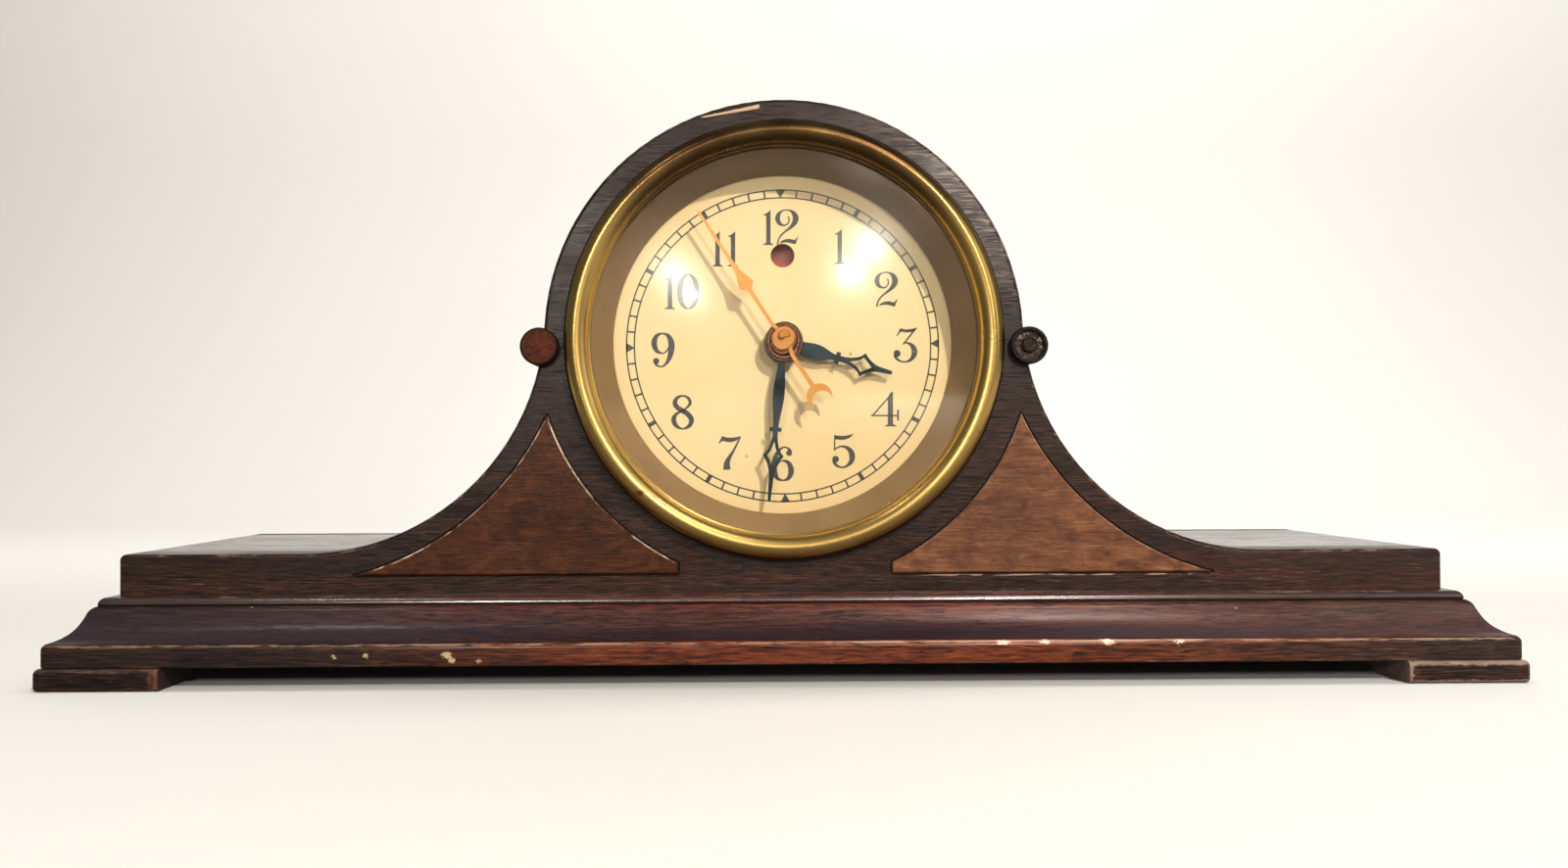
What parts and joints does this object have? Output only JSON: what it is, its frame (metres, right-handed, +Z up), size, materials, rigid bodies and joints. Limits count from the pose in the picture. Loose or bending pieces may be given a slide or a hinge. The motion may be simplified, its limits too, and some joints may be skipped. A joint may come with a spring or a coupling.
{
  "type": "tambour mantel clock",
  "caption": "Long low tambour mantel clock in dark wood: round arched middle, concave sweeps to flat shoulders, moulded base on feet, domed glass, brass bezel, electric movement.",
  "frame": {"origin": "centre of the footprint, level with the underside of the feet", "axes": "+X to the right as seen from the front, -Y out of the dial towards the viewer, +Z up"},
  "size_m": [0.4826, 0.1446, 0.1953],
  "materials": {
    "mahogany": "dark aged mahogany, satin lacquer worn at the edges",
    "dowel_end_worn": "stained hardwood, lacquer worn off the end grain",
    "dowel_dark": "dark stained turned hardwood",
    "burl": "figured red-brown burl veneer, satin lacquer",
    "bezel_brass": "polished brass with age tarnish",
    "clear_glass": "clear domed glass",
    "reveal_paint": "satin taupe paint",
    "dial_cream": "aged cream enamel paint, satin",
    "blued_steel": "dark blued steel",
    "gilt_metal": "gilt orange lacquered metal",
    "copper_tone": "copper brown plated metal",
    "plate_brass": "dull rolled brass",
    "arbor_steel": "turned steel",
    "screw_steel": "plain steel screw",
    "can_metal": "lacquered metal canister",
    "lamination_steel": "stacked lamination steel",
    "coil_wrap": "varnished cotton wrap over the winding",
    "cover_paint": "dark brown enamel",
    "gland_rubber": "black rubber",
    "knob_plastic": "dark moulded plastic",
    "red_enamel": "red enamel"
  },
  "bodies": {
    "clock_body": {"front_panel": "mahogany", "back_panel": "mahogany", "arch_skin": "mahogany", "shoulder_skin_left": "mahogany", "shoulder_skin_right": "mahogany", "end_board_left": "mahogany", "end_board_right": "mahogany", "side_dowel_left": "dowel_end_worn", "side_dowel_right": "dowel_dark", "inlay_left": "burl", "inlay_right": "burl", "base_moulding_front": "mahogany", "base_moulding_left": "mahogany", "base_moulding_right": "mahogany", "base_rear_rail": "mahogany", "base_board": "mahogany", "foot_front_left": "mahogany", "foot_front_right": "mahogany", "foot_rear_left": "mahogany", "foot_rear_right": "mahogany", "base_screws": "screw_steel", "bezel_ring": "bezel_brass", "bezel_glass": "clear_glass", "glass_retainer": "plate_brass", "reveal_ring": "reveal_paint", "dial_plate": "dial_cream", "dial_screws": "screw_steel", "dial_posts": "plate_brass", "movement_front_plate": "plate_brass", "movement_back_plate": "plate_brass", "plate_pillars": "plate_brass", "pillar_screws": "screw_steel", "motion_stud": "arbor_steel", "rotor_can": "can_metal", "field_laminations": "lamination_steel", "field_coil": "coil_wrap", "field_spacers": "plate_brass", "field_screws": "screw_steel", "rear_cover": "cover_paint", "rear_cover_screws": "screw_steel", "cord_gland": "gland_rubber"},
    "minute_body": {"minute_arbor": "plate_brass", "centre_wheel": "plate_brass", "minute_hand": "blued_steel", "minute_collar": "copper_tone"},
    "second_body": {"second_arbor": "plate_brass", "second_hand": "gilt_metal"},
    "hour_body": {"hour_wheel": "plate_brass", "hour_hand": "blued_steel"},
    "intermediate_body": {"intermediate_arbor": "plate_brass"},
    "motion_body": {"motion_wheel": "plate_brass"},
    "set_body": {"set_shaft": "arbor_steel", "set_knob": "knob_plastic"},
    "rotor_body": {"rotor_pinion": "arbor_steel"},
    "indicator_body": {"indicator_arbor": "arbor_steel", "indicator_flag": "dial_cream", "indicator_disc": "red_enamel", "reset_lever": "arbor_steel"}
  },
  "joints": [
    {"name": "minute_turn", "type": "hinge", "parent": "clock_body", "child": "minute_body", "pos_m": [0, -0.03375, 0.1136], "axis": [0, 1, 0], "continuous": true},
    {"name": "second_turn", "type": "hinge", "parent": "clock_body", "child": "second_body", "pos_m": [0, -0.03375, 0.1136], "axis": [0, 1, 0], "continuous": true},
    {"name": "hour_turn", "type": "hinge", "parent": "clock_body", "child": "hour_body", "pos_m": [0, -0.03575, 0.1136], "axis": [0, 1, 0], "continuous": true},
    {"name": "intermediate_turn", "type": "hinge", "parent": "clock_body", "child": "intermediate_body", "pos_m": [-0.02208, -0.01875, 0.10085], "axis": [0, 1, 0], "continuous": true},
    {"name": "motion_turn", "type": "hinge", "parent": "clock_body", "child": "motion_body", "pos_m": [0.01149, -0.03375, 0.12324], "axis": [0, 1, 0], "continuous": true},
    {"name": "set_turn", "type": "hinge", "parent": "clock_body", "child": "set_body", "pos_m": [0.02649, 0.00625, 0.12324], "axis": [0, 1, 0], "continuous": true},
    {"name": "rotor_turn", "type": "hinge", "parent": "clock_body", "child": "rotor_body", "pos_m": [0, -0.01375, 0.0975], "axis": [0, 1, 0], "continuous": true},
    {"name": "indicator_swing", "type": "hinge", "parent": "clock_body", "child": "indicator_body", "pos_m": [-0.016, -0.03375, 0.1446], "axis": [0, 1, 0], "range_deg": [-35, 0]}
  ],
  "couplings": [
    {"joint": "second_turn", "follows": "minute_turn", "ratio": 60},
    {"joint": "hour_turn", "follows": "minute_turn", "ratio": 0.083333},
    {"joint": "intermediate_turn", "follows": "minute_turn", "ratio": -8},
    {"joint": "motion_turn", "follows": "minute_turn", "ratio": -0.33333},
    {"joint": "set_turn", "follows": "minute_turn", "ratio": 1},
    {"joint": "rotor_turn", "follows": "minute_turn", "ratio": -216}
  ]
}
